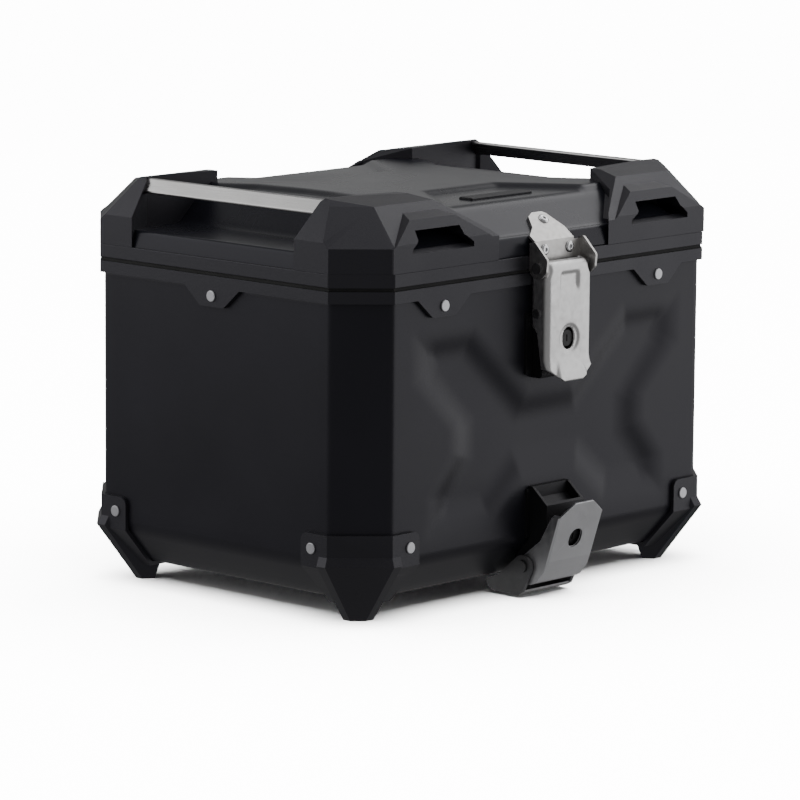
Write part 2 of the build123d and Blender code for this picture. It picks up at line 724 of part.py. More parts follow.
with BuildPart() as latch_lever:
    with BuildSketch(side_plane(-LEVER_HALF)) as lever_face:
        outline(LEVER_SIDE)
        fillet(lever_face.vertices().sort_by_distance((LEVER_FRONT, 252, 0))[0], 4)
    extrude(lever_face.sketch, amount=2 * LEVER_HALF)
    with BuildSketch(level(150)) as lever_bends:
        half = LEVER_HALF
        outline([(-half, LEVER_FRONT), (half, LEVER_FRONT), (half, -140), (-half, -140)])
        fillet(lever_bends.vertices().group_by(Axis.Y)[0], 4)
    extrude(lever_bends.sketch, amount=120, mode=Mode.INTERSECT)
    with BuildSketch(level(150)) as lever_hollow:
        half = LEVER_HALF - LEVER_T
        back = LEVER_FRONT + LEVER_T
        outline([(-half, back), (half, back), (half, -140), (-half, -140)])
        fillet(lever_hollow.vertices().group_by(Axis.Y)[0], 2)
    extrude(lever_hollow.sketch, amount=100, mode=Mode.SUBTRACT)
    section(-20.5, LEVER_FLARE, 41)
    prism(front_plane(-160), LEVER_TIP, 20, Mode.INTERSECT, both=True)
    lever_lock_hole(front_plane(LEVER_FRONT).shift_origin((0, MID_Y + LEVER_FRONT, LOCK_Z)), 13.3, 16.5)
    prism(front_plane(LEVER_FRONT + 1.2), [(-9.6, 231.6), (9.6, 231.6), (9.6, 243.8), (-9.6, 243.8)], 3,
          Mode.SUBTRACT)
    rods(-LEVER_HALF, [PIN1], PIN1_R + RUN, 2 * LEVER_HALF, Mode.SUBTRACT)
    rods(-LEVER_HALF, [PIN2], PIN2_R, 2 * LEVER_HALF, Mode.SUBTRACT)
latch_lever.part.label = "latch_lever"
export_step(latch_lever.part, "parts/latch_lever.step")

hook_pin = headed_pin(PIN2, PIN2_R, LEVER_HALF, 3.4, 1.2)
hook_pin.label = "hook_pin"
export_step(hook_pin, "parts/hook_pin.step")

HOOK_SIDE = [(-157.4, 213.5), (-157.4, 206.3), (-151.0, 206.3), (-151.0, 210.2), (-153.8, 210.2)]
HOOK_SIDE += [(-153.0, 213.5)]
with BuildPart() as draw_hook:
    section(-14, HOOK_SIDE, 28)
    rods(-14, [PIN2], 4.0, 28)
    rods(-14, [PIN2], PIN2_R + RUN, 28, Mode.SUBTRACT)
draw_hook.part.label = "draw_hook"
export_step(draw_hook.part, "parts/draw_hook.step")

# ---------------------------------------------------------------- latch base on the case
BASE_HALF = 20.0
BASE_FRONT = -157.0
BASE_SIDE = [
    (-WALL_Y, 165),
    (-WALL_Y, 216),
    (-150.0, 216),
    (-150.0, 212),
    (-149.0, 212),
    (-149.0, 201.5),
    (BASE_FRONT, 201.5),
    (BASE_FRONT, 167),
    (BASE_FRONT + 2, 165),
]
FOOT_T = 1.6
SCREW_END = 148.9  # the wall screws end this far in front of the middle
LOCK_BARREL_R = 6.0
LOCK_PLUG_R = 4.0
LOCK_STEM_R = 2.5
LOCK_FACE_Y = -163.4

with BuildPart() as latch_base:
    section(-BASE_HALF, BASE_SIDE, 2 * BASE_HALF)
    prism(front_plane(-WALL_Y), [(-28, 168), (28, 168), (28, 213), (-28, 213)], FOOT_T)
    prism(front_plane(-WALL_Y), [(-11, 181), (11, 181), (11, 199), (-11, 199)], 7.7, Mode.SUBTRACT)
    front_rods(-140, [(0, LOCK_Z)], LOCK_BARREL_R, 30, Mode.SUBTRACT)
    front_rods(-140, BASE_SCREWS, SCREW_R, 8.9, Mode.SUBTRACT)
latch_base.part.label = "latch_base"
export_step(latch_base.part, "parts/latch_base.step")


def backing_plate(name, low_z, high_z, screws):
    """A stiffening plate inside the front wall, behind a latch."""
    with BuildPart() as plate:
        corners = [(-22, low_z), (22, low_z), (22, high_z), (-22, high_z)]
        prism(front_plane(SHEET - WALL_Y), corners, -PLATE_T)
        front_rods(0, screws, SCREW_R, BAND_Y, Mode.SUBTRACT)
    plate.part.label = name
    export_step(plate.part, "parts/" + name + ".step")


def wall_screws(name, screws):
    """Screws from inside the case, through a backing plate, into a latch's base."""
    inside = SHEET + PLATE_T - WALL_Y
    with BuildPart() as group:
        front_rods(inside, screws, 3.8, -2.4)
        front_rods(inside, screws, SCREW_R, inside + SCREW_END)
    group.part.label = name
    export_step(group.part, "parts/" + name + ".step")


backing_plate("latch_backing", 166, 214, BASE_SCREWS)
wall_screws("latch_screws", BASE_SCREWS)

# ---------------------------------------------------------------- locks
def lock_set(name, face_plane, barrel_depth, plug_depth):
    """A lock behind a face plane whose normal points out: fixed barrel, turning plug and cam."""
    with BuildPart() as barrel:
        with BuildSketch(face_plane):
            Circle(LOCK_BARREL_R)
            Circle(LOCK_PLUG_R + RUN, mode=Mode.SUBTRACT)
        extrude(amount=-barrel_depth)
    with BuildPart() as plug:
        with BuildSketch(face_plane):
            Circle(LOCK_PLUG_R)
        extrude(amount=-plug_depth)
        with BuildSketch(face_plane.offset(-plug_depth)):
            Circle(LOCK_STEM_R)
        extrude(amount=-2.4)
        with BuildSketch(face_plane):
            Rectangle(1.2, 5)
        extrude(amount=-3, mode=Mode.SUBTRACT)
    with BuildPart() as cam:
        with BuildSketch(face_plane.offset(-plug_depth)):
            with Locations((0, -3.25)):
                SlotCenterToCenter(6.5, 6.4, rotation=90)
            Circle(LOCK_STEM_R, mode=Mode.SUBTRACT)
        extrude(amount=-2)
    for piece, body in (("barrel", barrel), ("plug", plug), ("cam", cam)):
        body.part.label = name + "_lock_" + piece
        export_step(body.part, "parts/" + name + "_lock_" + piece + ".step")


UPPER_LOCK = front_plane(LOCK_FACE_Y).shift_origin((0, MID_Y + LOCK_FACE_Y, LOCK_Z))
lock_set("upper", UPPER_LOCK, -154.5 - LOCK_FACE_Y, -153.3 - LOCK_FACE_Y)

# ---------------------------------------------------------------- carrier latch on the front wall
PIVOT = (-147.0, 24.5)
PIVOT_R = 3.0
HOUSING_HALF = 21.0
HOUSING_SIDE = [
    (-WALL_Y, 84),
    (-150.0, 83.8),
    (-164.5, 71.4),
    (-164.5, 46),
    (-158.5, 36),
    (-155, 24.5),
    (-139.5, 21.7),
    (-134.3, 30.56),
    (-WALL_Y, CREASE_Z),
]
HOUSING_POCKET = [(-162.8, 64), (-162.8, 90), (-149.5, 90), (-149.5, 75)]
CAM_ROOM = (14.8, 2.6)  # depth behind the lever's face, and thickness, of the space for the cam
CARRIER_FACE_LOW = (-169.0, 30.0)
CARRIER_FACE_TOP = (-183.2, 74.0)
CARRIER_LOCK = (-174.0, 46.2)
CARRIER_FACE = Plane(
    origin=(0, MID_Y + CARRIER_LOCK[0], CARRIER_LOCK[1]),
    x_dir=(1, 0, 0),
    z_dir=(0, CARRIER_FACE_LOW[1] - CARRIER_FACE_TOP[1], CARRIER_FACE_TOP[0] - CARRIER_FACE_LOW[0]),
)  # on the carrier lever's tilted face, its normal forward

with BuildPart() as carrier_housing:
    section(-HOUSING_HALF, HOUSING_SIDE, 2 * HOUSING_HALF)
    rods(-HOUSING_HALF, [PIVOT], 8, 2 * HOUSING_HALF)
    prism(front_plane(-WALL_Y), [(-25, 46), (25, 46), (25, 82), (-25, 82)], FOOT_T)
    section(-18.5, HOUSING_POCKET, 37, Mode.SUBTRACT)
    rods(-HOUSING_HALF, [PIVOT], PIVOT_R, 2 * HOUSING_HALF, Mode.SUBTRACT)
    with BuildSketch(CARRIER_FACE):
        Circle(LOCK_BARREL_R)
    extrude(amount=-18, mode=Mode.SUBTRACT)
    with BuildSketch(CARRIER_FACE.offset(-CAM_ROOM[0])):
        Circle(10)
    extrude(amount=-CAM_ROOM[1], mode=Mode.SUBTRACT)
    front_rods(-140, HOUSING_SCREWS, SCREW_R, 8.9, Mode.SUBTRACT)
carrier_housing.part.label = "carrier_housing"
export_step(carrier_housing.part, "parts/carrier_housing.step")
backing_plate("housing_backing", 47, 83, HOUSING_SCREWS)
wall_screws("housing_screws", HOUSING_SCREWS)

LEVER_GAP = 2.6  # from a carrier lever's outer face in to the lock's face
lock_set("lower", CARRIER_FACE.offset(-LEVER_GAP), 9.6, 12.4)

CARRIER_OUTER = [
    CARRIER_FACE_TOP,
    CARRIER_FACE_LOW,
    (-165.6, 22.5),
    (-162.9, 19.3),
    (-158.0, 13.5),
    (-152.0, 10.9),
    (-143.8, 10.4),
    (-139.6, 22.0),
    (-139.6, 27.0),
    (-142.4, 30.4),
    (-149.7, 36.0),
    (-161.0, 45.0),
    (-173.6, 67.0),
    (-181.3, 74.6),
]
CARRIER_HOLLOW = [
    (-183.04, 80),
    (-167.1, 30.6),
    (-163.8, 23.6),
    (-161.3, 20.6),
    (-156.8, 15.2),
    (-151.4, 12.9),
    (-130, 12.5),
    (-130, 80),
]
CARRIER_HALF = 24.5
CARRIER_FLANGE = 2.5
CARRIER_OUTLINE = [(-24.5, 5), (-24.5, 64), (-21.5, 66.2), (-9.6, 74.4)]
CARRIER_OUTLINE += [(9.6, 74.4), (21.5, 66.2), (24.5, 64), (24.5, 5)]

with BuildPart() as carrier_lever:
    section(-CARRIER_HALF, CARRIER_OUTER, 2 * CARRIER_HALF)
    inner = CARRIER_HALF - CARRIER_FLANGE
    section(-inner, CARRIER_HOLLOW, 2 * inner, Mode.SUBTRACT)
    prism(front_plane(-160), CARRIER_OUTLINE, 60, Mode.INTERSECT, both=True)
    chamfer(
        carrier_lever.faces().sort_by_distance((0, MID_Y - 190, 45))[0].edges().filter_by(
            lambda e: abs(e.center().X) > 24),
        1.2,
    )
    lever_lock_hole(CARRIER_FACE, 13.8, 15)
    rods(-CARRIER_HALF, [PIVOT], PIVOT_R + RUN, 2 * CARRIER_HALF, Mode.SUBTRACT)
carrier_lever.part.label = "carrier_lever"
export_step(carrier_lever.part, "parts/carrier_lever.step")

CLAW_X = (25.0, 28.0)
CLAW_SIDE = [
    (-141, 30.6),
    (-124, 15.8),
    (-111.4, 10.9),
    (-113.6, 4.8),
    (-122, 2.5),
    (-143, 2.5),
    (-147.5, 5.0),
    (-155.2, 22),
]
CLAW_FLOOR = [(-118, 3.6), (-122, 2.5), (-143, 2.5), (-147.5, 5.0)]
CLAW_FLOOR += [(-147.5, 6.3), (-145.5, 6.3), (-142.5, 5.0), (-118, 5.0)]
with BuildPart() as carrier_claw:
    for claw_x in (-CLAW_X[1], CLAW_X[0]):
        section(claw_x, CLAW_SIDE, CLAW_X[1] - CLAW_X[0])
        rods(claw_x, [PIVOT], 8.5, CLAW_X[1] - CLAW_X[0])
    section(-CLAW_X[1], CLAW_FLOOR, 2 * CLAW_X[1])
    rods(-CLAW_X[1], [PIVOT], PIVOT_R + RUN, 2 * CLAW_X[1], Mode.SUBTRACT)
carrier_claw.part.label = "carrier_claw"
export_step(carrier_claw.part, "parts/carrier_claw.step")

carrier_pin = headed_pin(PIVOT, PIVOT_R, CLAW_X[1] + 0.3, 4.6, 1.6)
carrier_pin.label = "carrier_pin"
export_step(carrier_pin, "parts/carrier_pin.step")

# ---------------------------------------------------------------- hinges at the back
AXIS = (156.4, 244.8)
KNUCKLE_R = 4.5
HINGE_PIN_R = 2.0
LEAF_HALF = 18.0
LID_KNUCKLE = 5.9
CASE_KNUCKLE = 6.2
LEAF_T = 2.5
CASE_LEAF = [
    (WALL_Y, 202),
    (WALL_Y + LEAF_T, 202),
    (WALL_Y + LEAF_T, 229.2),
    (154.2, 234.1),
    (154.2, AXIS[1]),
    (151.2, AXIS[1]),
    (151.2, 235.3),
    (WALL_Y, 230.9),
]
LID_LEAF = [
    (BAND_Y, 250),
    (BAND_Y, 256.1),
    (skirt_y(257.4), 257.4),
    (skirt_y(268), 268),
    (skirt_y(268) + LEAF_T, 268),
    (skirt_y(258.6) + LEAF_T, 258.6),
    (BAND_Y + LEAF_T, 256.9),
    (BAND_Y + LEAF_T, 250),
]
LID_TONGUE = [(BAND_Y, 246.6), (BAND_Y, 252), (BAND_Y + LEAF_T, 252), (156.4, 249.2), AXIS, (152.4, 246.6)]

leaf_rivet = rivet(LEAF_T, -SHEET)
lid_leaf_rivet = rivet(LEAF_T, -SHEET - 0.3)
for side, s in (("left", -1), ("right", 1)):
    mid = s * HINGE_X
    with BuildPart() as case_hinge:
        section(mid - LEAF_HALF, CASE_LEAF, 2 * LEAF_HALF)
        rods(mid - LEAF_HALF, [AXIS], KNUCKLE_R, 2 * LEAF_HALF)
        with BuildSketch(front_plane(140)) as gap_face:
            with Locations((mid, 250 - 0.2)):
                Rectangle(2 * CASE_KNUCKLE, 20)
        extrude(gap_face.sketch, amount=-40, mode=Mode.SUBTRACT)
        rods(mid - LEAF_HALF, [AXIS], HINGE_PIN_R, 2 * LEAF_HALF, Mode.SUBTRACT)
        front_rods(0, [(x, HINGE_LOW_Z) for x in HINGE_XS], RIVET_R, -200, Mode.SUBTRACT)
    with BuildPart() as lid_hinge:
        section(mid - LEAF_HALF, LID_LEAF, 2 * LEAF_HALF)
        section(mid - LID_KNUCKLE, LID_TONGUE, 2 * LID_KNUCKLE)
        rods(mid - LID_KNUCKLE, [AXIS], KNUCKLE_R, 2 * LID_KNUCKLE)
        rods(mid - LID_KNUCKLE, [AXIS], HINGE_PIN_R + RUN, 2 * LID_KNUCKLE, Mode.SUBTRACT)
        add(lid_block.part, mode=Mode.SUBTRACT)
        with BuildSketch(SKIRT_PLANE):
            with Locations(*[(x, SKIRT_RIVET) for x in HINGE_XS]):
                Circle(RIVET_R)
        extrude(amount=8, both=True, mode=Mode.SUBTRACT)
    with BuildPart() as hinge_pin:
        rods(mid - LEAF_HALF, [AXIS], HINGE_PIN_R, 2 * LEAF_HALF)
        rods(mid - LEAF_HALF - 1.2, [AXIS], 3.2, 1.2)
        rods(mid + LEAF_HALF, [AXIS], 3.2, 1.2)
    for name, piece in (("case_hinge_", case_hinge), ("lid_hinge_", lid_hinge), ("hinge_pin_", hinge_pin)):
        piece.part.label = name + side
        export_step(piece.part, "parts/" + name + side + ".step")

with BuildPart() as case_hinge_rivets:
    for x in HINGE_XS:
        seat = Plane(origin=(x, MID_Y + WALL_Y, HINGE_LOW_Z), z_dir=(0, 1, 0))
        add(seat.location * leaf_rivet)
case_hinge_rivets.part.label = "case_hinge_rivets"
export_step(case_hinge_rivets.part, "parts/case_hinge_rivets.step")

with BuildPart() as lid_hinge_rivets:
    for x in HINGE_XS:
        add(SKIRT_PLANE.location * Pos(x, SKIRT_RIVET, 0) * lid_leaf_rivet)
lid_hinge_rivets.part.label = "lid_hinge_rivets"
export_step(lid_hinge_rivets.part, "parts/lid_hinge_rivets.step")
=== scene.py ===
import json
import math

import bmesh
import bpy
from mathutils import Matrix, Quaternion, Vector


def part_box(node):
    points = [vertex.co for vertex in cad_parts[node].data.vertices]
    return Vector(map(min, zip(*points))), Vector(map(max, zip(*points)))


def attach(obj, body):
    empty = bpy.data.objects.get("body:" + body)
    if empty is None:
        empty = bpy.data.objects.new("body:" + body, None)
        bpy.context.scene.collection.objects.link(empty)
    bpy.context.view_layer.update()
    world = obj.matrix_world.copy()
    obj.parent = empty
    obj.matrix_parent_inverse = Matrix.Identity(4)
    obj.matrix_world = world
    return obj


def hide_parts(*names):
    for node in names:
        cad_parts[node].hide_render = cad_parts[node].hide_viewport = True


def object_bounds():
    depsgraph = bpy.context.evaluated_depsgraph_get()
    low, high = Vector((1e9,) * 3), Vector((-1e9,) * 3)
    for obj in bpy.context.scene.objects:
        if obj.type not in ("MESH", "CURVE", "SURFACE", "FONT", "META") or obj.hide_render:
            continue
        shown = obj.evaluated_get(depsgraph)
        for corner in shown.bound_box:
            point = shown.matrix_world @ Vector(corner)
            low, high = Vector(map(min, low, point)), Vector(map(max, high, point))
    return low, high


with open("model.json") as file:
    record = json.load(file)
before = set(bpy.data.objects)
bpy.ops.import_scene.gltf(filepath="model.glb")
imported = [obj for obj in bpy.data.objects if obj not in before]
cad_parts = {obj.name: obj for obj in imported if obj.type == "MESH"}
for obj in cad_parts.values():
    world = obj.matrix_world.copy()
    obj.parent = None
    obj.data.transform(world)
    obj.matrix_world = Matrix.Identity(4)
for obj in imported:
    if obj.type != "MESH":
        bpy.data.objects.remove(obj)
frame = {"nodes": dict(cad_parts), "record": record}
cad_low, cad_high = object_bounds()
NODES = frame["nodes"]

MM = 0.001
SHEET = 1.5 * MM


def span(node):
    """Lowest corner, highest corner and centre of a CAD node."""
    low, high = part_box(node)
    return low, high, (low + high) / 2


# ---------------------------------------------------------------- node trees
def new_material(name):
    """A material with a Principled shader; gives the material, its nodes, links and shader."""
    material = bpy.data.materials.new(name)
    material.use_nodes = True
    nodes = material.node_tree.nodes
    links = material.node_tree.links
    return material, nodes, links, nodes["Principled BSDF"]


def position(nodes, links, scale):
    """Object coordinates in metres, scaled to the size of a texture."""
    place = nodes.new("ShaderNodeTexCoord")
    mapping = nodes.new("ShaderNodeMapping")
    mapping.inputs["Scale"].default_value = scale
    links.new(place.outputs["Object"], mapping.inputs["Vector"])
    return mapping.outputs["Vector"]


def noise_value(nodes, links, scale, detail=2.0, rough=0.5, stretch=(1, 1, 1)):
    """A noise texture's value; scale is in features per metre."""
    texture = nodes.new("ShaderNodeTexNoise")
    texture.inputs["Scale"].default_value = scale
    texture.inputs["Detail"].default_value = detail
    texture.inputs["Roughness"].default_value = rough
    links.new(position(nodes, links, stretch), texture.inputs["Vector"])
    return texture.outputs["Fac"]


def ramp(nodes, links, value, low, high, start=0.3, end=0.7):
    """A value between start and end becomes one between low and high."""
    spread = nodes.new("ShaderNodeMapRange")
    spread.inputs["From Min"].default_value = start
    spread.inputs["From Max"].default_value = end
    spread.inputs["To Min"].default_value = low
    spread.inputs["To Max"].default_value = high
    links.new(value, spread.inputs["Value"])
    return spread.outputs["Result"]


def mix_colour(nodes, links, value, first, second, start=0.3, end=0.7):
    """Two colours mixed by a texture's value."""
    mix = nodes.new("ShaderNodeMix")
    mix.data_type = "RGBA"
    mix.inputs["A"].default_value = (*first, 1)
    mix.inputs["B"].default_value = (*second, 1)
    links.new(ramp(nodes, links, value, 0, 1, start, end), mix.inputs["Factor"])
    return mix.outputs["Result"]


def clouded(nodes, links, value, colour, darker, lighter):
    """A colour that a texture's value darkens and lightens by two factors."""
    dark = tuple(darker * c for c in colour)
    light = tuple(lighter * c for c in colour)
    return mix_colour(nodes, links, value, dark, light)


def bump(nodes, links, value, distance, strength=1.0, normal=None):
    """A bump from a texture's value, as high as distance in metres."""
    relief = nodes.new("ShaderNodeBump")
    relief.inputs["Strength"].default_value = strength
    relief.inputs["Distance"].default_value = distance
    links.new(value, relief.inputs["Height"])
    if normal is not None:
        links.new(normal, relief.inputs["Normal"])
    return relief.outputs["Normal"]


# ---------------------------------------------------------------- materials
COOL_TINT = (0.92, 0.9, 1.0, 1)


def powder_coat(name, colour, roughness, specular):
    """Fine orange peel of a powder-coated sheet, with faint clouds in tone and gloss."""
    material, nodes, links, shader = new_material(name)
    clouds = noise_value(nodes, links, scale=9, detail=4)
    links.new(clouded(nodes, links, clouds, colour, 0.82, 1.2), shader.inputs["Base Color"])
    gloss = ramp(nodes, links, clouds, roughness - 0.03, roughness + 0.04)
    links.new(gloss, shader.inputs["Roughness"])
    peel = noise_value(nodes, links, scale=700, detail=2)
    grain = noise_value(nodes, links, scale=2600, detail=1)
    waves = bump(nodes, links, peel, distance=0.04 * MM, strength=0.5)
    fine = bump(nodes, links, grain, distance=0.02 * MM, strength=0.5, normal=waves)
    links.new(fine, shader.inputs["Normal"])
    shader.inputs["Specular IOR Level"].default_value = specular
    shader.inputs["Specular Tint"].default_value = COOL_TINT
    return material


def moulded_plastic(name, colour, roughness, specular):
    """Glass-filled nylon with a fine sparked grain and faint clouds in tone and gloss."""
    material, nodes, links, shader = new_material(name)
    flow = noise_value(nodes, links, scale=14, detail=4)
    links.new(clouded(nodes, links, flow, colour, 0.8, 1.25), shader.inputs["Base Color"])
    gloss = ramp(nodes, links, flow, roughness - 0.05, roughness + 0.05)
    links.new(gloss, shader.inputs["Roughness"])
    cells = nodes.new("ShaderNodeTexVoronoi")
    cells.inputs["Scale"].default_value = 900
    links.new(position(nodes, links, (1, 1, 1)), cells.inputs["Vector"])
    pits = bump(nodes, links, cells.outputs["Distance"], distance=0.06 * MM, strength=0.6)
    grain = noise_value(nodes, links, scale=2200, detail=2)
    fine = bump(nodes, links, grain, distance=0.03 * MM, strength=0.6, normal=pits)
    links.new(fine, shader.inputs["Normal"])
    shader.inputs["Specular IOR Level"].default_value = specular
    shader.inputs["Specular Tint"].default_value = COOL_TINT
    return material


def satin_metal(name, colour, roughness, stretch=(1, 1, 1), scale=300, depth=0.02 * MM):
    """Metal with a blasted or brushed finish; stretch draws the grain out along an axis."""
    material, nodes, links, shader = new_material(name)
    clouds = noise_value(nodes, links, scale=12, detail=4)
    links.new(clouded(nodes, links, clouds, colour, 0.88, 1.08), shader.inputs["Base Color"])
    grain = noise_value(nodes, links, scale, detail=3, rough=0.6, stretch=stretch)
    gloss = ramp(nodes, links, grain, roughness - 0.07, roughness + 0.09)
    links.new(gloss, shader.inputs["Roughness"])
    links.new(bump(nodes, links, grain, depth, strength=0.5), shader.inputs["Normal"])
    shader.inputs["Metallic"].default_value = 1.0
    return material


def rubber(name):
    """Matt black rubber with a faint dust."""
    material, nodes, links, shader = new_material(name)
    dust = noise_value(nodes, links, scale=60, detail=3)
    black = clouded(nodes, links, dust, (0.01, 0.01, 0.01), 0.6, 1.4)
    links.new(black, shader.inputs["Base Color"])
    grain = noise_value(nodes, links, scale=900)
    links.new(bump(nodes, links, grain, distance=0.04 * MM, strength=0.5), shader.inputs["Normal"])
    shader.inputs["Roughness"].default_value = 0.8
    return material


PANEL = powder_coat("black_powder_coat", (0.0094, 0.0092, 0.0128), 0.38, 0.3)
LID_PANEL = powder_coat("lid_powder_coat", (0.009, 0.0094, 0.0135), 0.28, 0.24)
PLASTIC = moulded_plastic("moulded_plastic", (0.0125, 0.0123, 0.0155), 0.45, 0.42)
HOUSING = moulded_plastic("housing_plastic", (0.009, 0.009, 0.0095), 0.48, 0.3)
RUBBER = rubber("seal_rubber")
RAIL = satin_metal(
    "brushed_rail", (0.5, 0.495, 0.49), 0.3, stretch=(1, 0.02, 1), scale=2400, depth=0.01 * MM
)
LEVER = satin_metal("blasted_stainless", (0.655, 0.65, 0.65), 0.4)
GREY_LEVER = satin_metal("grey_stainless", (0.66, 0.66, 0.68), 0.36)
DARK_STEEL = satin_metal("dark_steel", (0.2, 0.2, 0.205), 0.42)
RIVET = satin_metal("rivet_aluminium", (0.5, 0.5, 0.52), 0.45, scale=900)
BRIGHT_RIVET = satin_metal("bright_rivet", (0.68, 0.68, 0.69), 0.22, scale=900)
# Stainless like the lever but darker: painted shade for the bracket's plate, which sits in shade
# between its ears.
SHADE_DARKENED_BRACKET = satin_metal("bracket_stainless_painted_shade", (0.5, 0.49, 0.48), 0.36, depth=0.01 * MM)
ZINC = satin_metal("zinc_plate", (0.5, 0.5, 0.52), 0.32)
LOCK = satin_metal("dark_nickel", (0.035, 0.035, 0.036), 0.35)

FINISHES = {
    "black_panel": PANEL,
    "black_plastic": PLASTIC,
    "seal_rubber": RUBBER,
    "rail_aluminium": RAIL,
    "rivet_aluminium": RIVET,
    "steel": ZINC,
    "latch_steel": LEVER,
    "grey_metal": GREY_LEVER,
    "dark_metal": DARK_STEEL,
    "lock_metal": LOCK,
}
OWN_FINISH = {
    "lid_shell": LID_PANEL,
    "latch_base": HOUSING,
    "carrier_housing": HOUSING,
    "badge_plate": HOUSING,
    # the bracket takes the darkened stainless, whose darkness is painted shade
    "latch_bracket": SHADE_DARKENED_BRACKET,
    "lever_pin": DARK_STEEL,
    "hook_pin": DARK_STEEL,
    "carrier_pin": DARK_STEEL,
}
for sub_part in frame["record"]["subparts"]:
    node = sub_part["node"]
    finish = OWN_FINISH.get(node, FINISHES[sub_part["material_slot"]])
    NODES[node].data.materials.clear()
    NODES[node].data.materials.append(finish)


# ---------------------------------------------------------------- softened CAD edges
SHARP_ANGLE = 24
WELD_DISTANCE = 0.02 * MM


def soften(node, width, segments=3):
    """Rounds a CAD node's edges by a bevel modifier, and smooths its shading."""
    piece = NODES[node]
    weld = piece.modifiers.new("weld", "WELD")
    weld.merge_threshold = WELD_DISTANCE
    bevel = piece.modifiers.new("bevel", "BEVEL")
    bevel.width = width
    bevel.segments = segments
    bevel.limit_method = "ANGLE"
    bevel.angle_limit = math.radians(SHARP_ANGLE)
    bevel.harden_normals = True
    bevel.use_clamp_overlap = True


CORNERS = ("front_left", "front_right", "rear_left", "rear_right")
for corner in CORNERS:
    soften("cap_" + corner, 1.8 * MM, 4)
    soften("foot_" + corner, 1.4 * MM)
soften("case_collar", 0.5 * MM, 2)
soften("lid_frame", 0.6 * MM, 2)
for lever in ("carrier_lever", "carrier_claw"):
    soften(lever, 1.1 * MM)
for part in ("latch_bracket", "carrier_housing", "latch_base"):
    soften(part, 0.6 * MM)
soften("badge_plate", 0.3 * MM, 2)
for rivets in ("collar_rivets", "foot_rivets", "case_hinge_rivets", "lid_hinge_rivets"):
    soften(rivets, 0.55 * MM)
for pin in ("lever_pin", "hook_pin", "carrier_pin", "rail_left", "rail_right"):
    soften(pin, 0.3 * MM)


# ---------------------------------------------------------------- pressed sheet shells
def edge_distance(point, outline):
    """Distance from a point to a closed outline, above 0 inside it and below 0 outside."""
    x, y = point
    nearest = 1e9
    inside = False
    for (ax, ay), (bx, by) in zip(outline, outline[1:] + outline[:1]):
        dx, dy = bx - ax, by - ay
        along = ((x - ax) * dx + (y - ay) * dy) / (dx * dx + dy * dy)
        along = min(1, max(0, along))
        nearest = min(nearest, math.hypot(x - ax - along * dx, y - ay - along * dy))
        if (ay > y) != (by > y) and x < ax + (y - ay) * dx / dy:
            inside = not inside
    return nearest if inside else -nearest


def soft_max(a, b, blend):
    """The larger of two values, rounded where they are within blend of each other."""
    share = min(1, max(0, 0.5 + 0.5 * (a - b) / blend))
    return b + share * (a - b) + blend * share * (1 - share)


def soft_min(a, b, blend):
    """The smaller of two values, rounded where they are within blend of each other."""
    return -soft_max(-a, -b, blend)


def pressed(point, outer, inner, blend=0.4):
    """How far a pressing has gone at a point: 0 outside outer, 1 inside inner, with soft bends."""
    to_outer = edge_distance(point, outer)
    to_inner = -edge_distance(point, inner)
    share = to_outer / max(0.5, to_outer + to_inner)
    return soft_min(soft_max(share, 0, blend), 1, blend)


def both_sides(half):
    """An outline's right half and its mirror image on the left."""
    return half + [(-x, y) for x, y in reversed(half)]


def both_ways(quarter):
    """An outline's rear right quarter and its three mirror images."""
    right = [(x, -y) for x, y in reversed(quarter)] + quarter
    return right + [(-x, y) for x, y in reversed(quarter)] + [(-x, -y) for x, y in quarter]


def shaded(name, grid, material, thickness):
    """An object from a bmesh, smooth, with its sheet's thickness added inwards."""
    bmesh.ops.recalc_face_normals(grid, faces=grid.faces)
    mesh = bpy.data.meshes.new(name)
    grid.to_mesh(mesh)
    grid.free()
    for face in mesh.polygons:
        face.use_smooth = True
    mesh.materials.append(material)
    piece = bpy.data.objects.new(name, mesh)
    bpy.context.scene.collection.objects.link(piece)
    sheet = piece.modifiers.new("sheet", "SOLIDIFY")
    sheet.thickness = thickness
    sheet.offset = -1
    return piece


CASE_LOW, CASE_HIGH, CASE_MIDDLE = span("case_shell")
CASE_X = 1000 * (CASE_HIGH.x - CASE_LOW.x) / 2
CASE_Y = 1000 * (CASE_HIGH.y - CASE_LOW.y) / 2
MIDDLE_Y = 1000 * CASE_MIDDLE.y
CORNER_LEG = 31.5
CREASE_Z = 44.0
FLOOR_Z = 1000 * CASE_LOW.z
RIM_Z = 1000 * CASE_HIGH.z
BEVEL_IN = 27.0
CORNER_BEND = 7.0
CREASE_BEND = 6.0
FLOOR_BEND = 3.0
RIM_BAND = 9
ROW_STEP = 2.0
FIRST_ROW_Z = 214.0
LAST_ROW_Z = 56
CHAMFER_STEPS = 6
SIDE_STEPS = 24
BACK_STEPS = 60
FRONT_STEPS = 168
RECESS_DEPTH = 4.0
RECESS_HALF = 150
RECESS_Z = (58, 213)
RECESS_OUTER = both_sides([
    (30.5, 93), (64, 65), (127, 65), (127, 89), (103, 118),
    (103, 137.5), (143, 175.5), (143, 206), (85, 206), (25, 153.5),
])
RECESS_INNER = both_sides([
    (36, 110), (70, 81), (107, 81), (107, 86), (84, 112),
    (84, 140), (122, 178), (122, 190), (90, 190), (32, 137),
])


def plan_corners(inset):
    """The case's eight corners in plan, anticlockwise from the front's right end."""
    x, y = CASE_X - inset, CASE_Y - inset
    leg = CORNER_LEG - inset * (2 - 2**0.5)
    right = [(x - leg, -y), (x, leg - y), (x, y - leg), (x - leg, y)]
    return right + [(-u, v) for u, v in reversed(right)]


def along_side(start, end, steps):
    """Evenly spaced points from start up to, but not at, end."""
    (ax, ay), (bx, by) = start, end
    return [(ax + (bx - ax) * i / steps, ay + (by - ay) * i / steps) for i in range(steps)]


